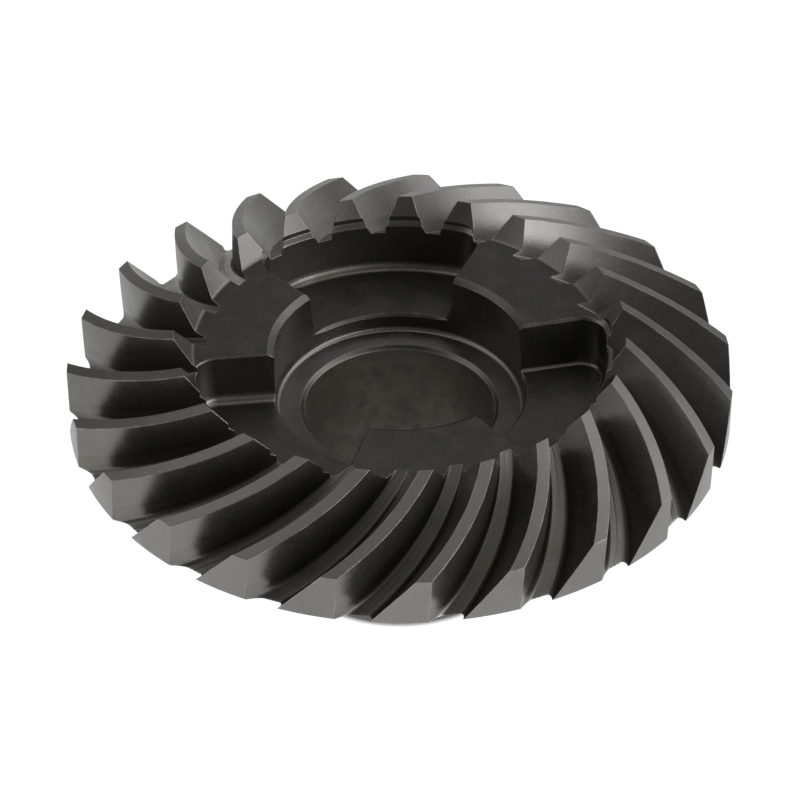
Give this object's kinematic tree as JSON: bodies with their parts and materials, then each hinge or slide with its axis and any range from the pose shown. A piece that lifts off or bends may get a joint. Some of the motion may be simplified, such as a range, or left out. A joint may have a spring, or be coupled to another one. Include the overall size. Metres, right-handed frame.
{
  "type": "spiral bevel gear with dog-clutch lugs",
  "caption": "Spiral bevel ring gear with curved teeth, a ring of dog-clutch lugs and sunk pockets on its front face, a rear bearing hub and a bushed shaft bore.",
  "frame": {"origin": "on the gear axis at the rear end of the hub", "axes": "+Z along the gear axis, from the hub towards the toothed and lugged front; +X and +Y across it, with the middle of one lug 40.3 degrees from +X"},
  "size_m": [0.0763, 0.0762, 0.0318],
  "materials": {
    "gear_steel": "black oxide, satin",
    "bush_bronze": "dull, oiled sintered bronze"
  },
  "bodies": {
    "root": {"gear": "gear_steel", "bore_bush": "bush_bronze"}
  },
  "joints": []
}
